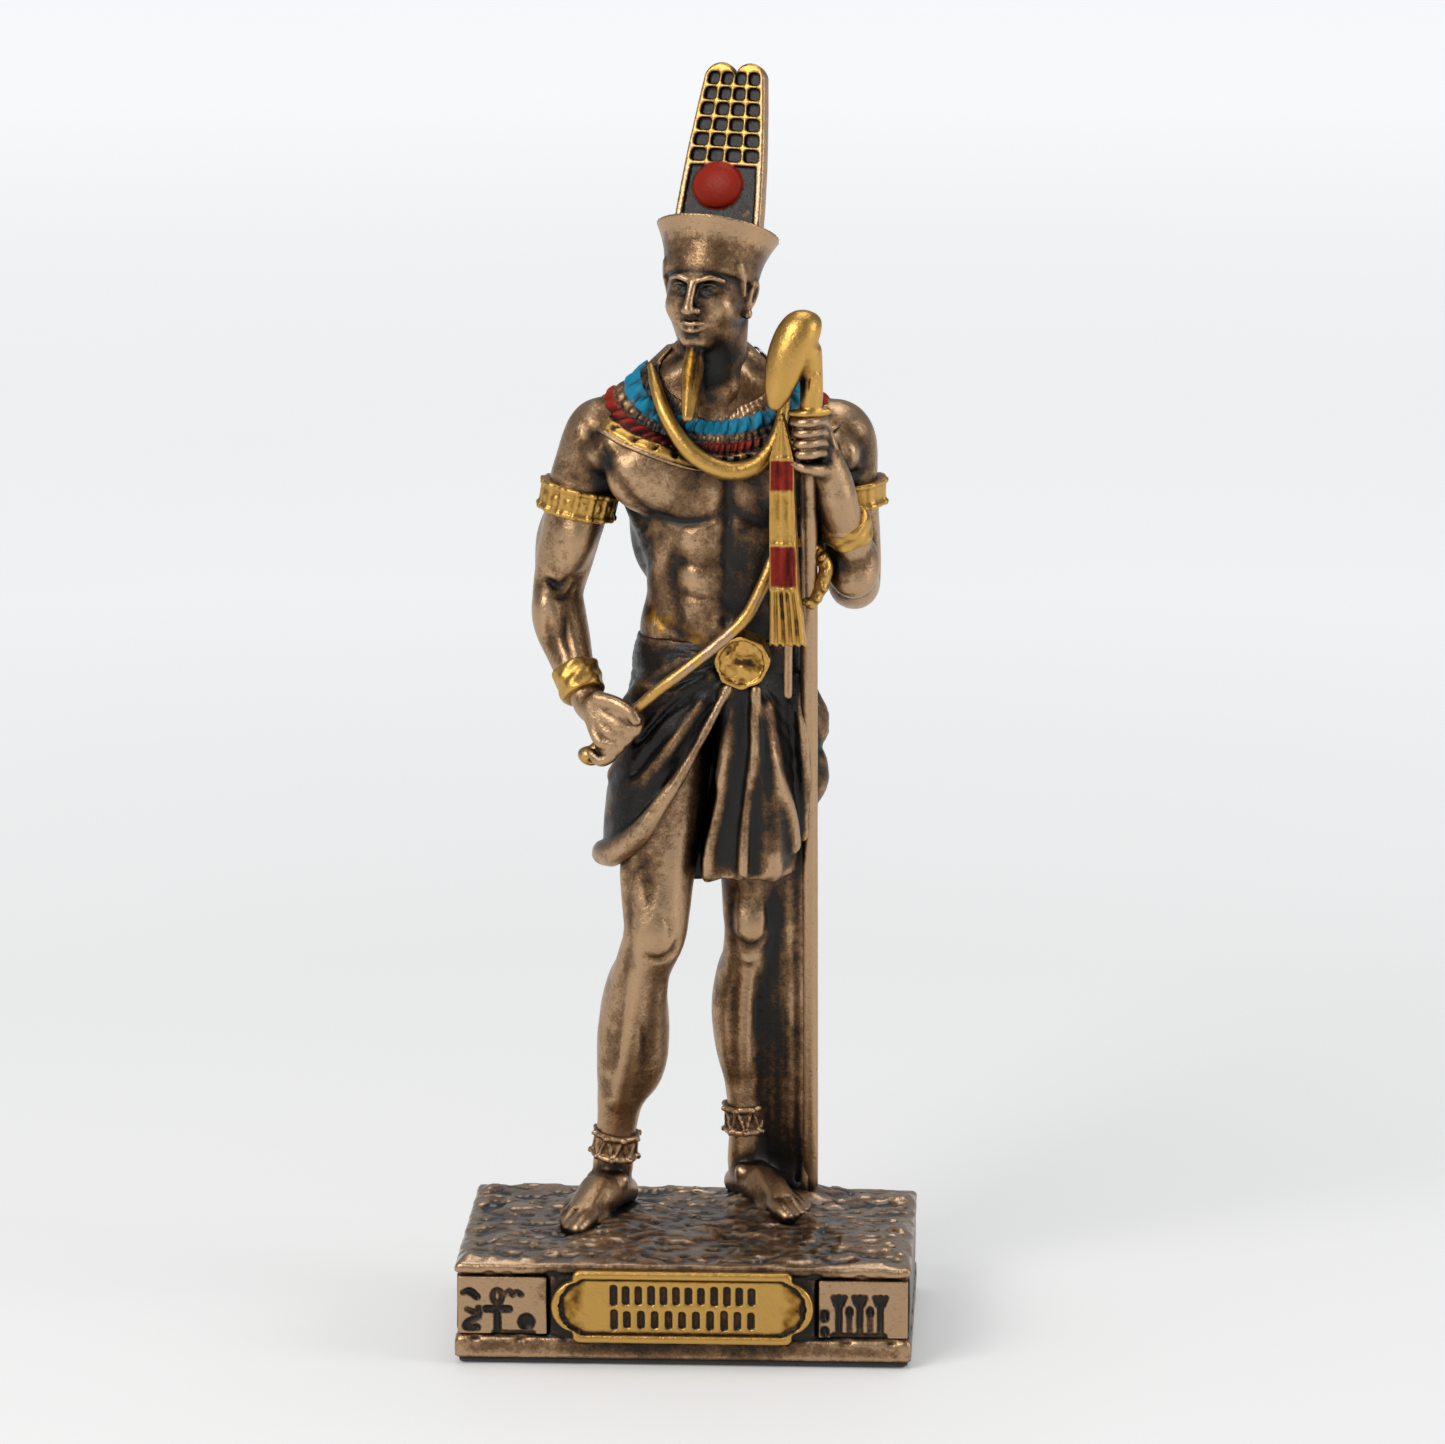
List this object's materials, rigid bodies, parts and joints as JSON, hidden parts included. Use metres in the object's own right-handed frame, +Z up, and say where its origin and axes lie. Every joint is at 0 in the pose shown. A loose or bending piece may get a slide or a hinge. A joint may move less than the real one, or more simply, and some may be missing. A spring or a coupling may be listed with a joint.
{
  "type": "egyptian god statuette",
  "caption": "Standing Egyptian god figure with a tall plumed crown, a crook and a long staff, cast in one piece with an oblong plinth.",
  "frame": {"origin": "middle of the underside of the pad, at the centre of the overall box", "axes": "+Z up; the figure and its name plate face -Y; +X is the figure's left"},
  "size_m": [0.032, 0.0226, 0.0893],
  "materials": {
    "bronze_resin": "satin bronze over dark patina, with gold, red and blue paint",
    "felt": "matte"
  },
  "bodies": {
    "root": {"cast_figure": "bronze_resin", "felt_pad": "felt"}
  },
  "joints": []
}
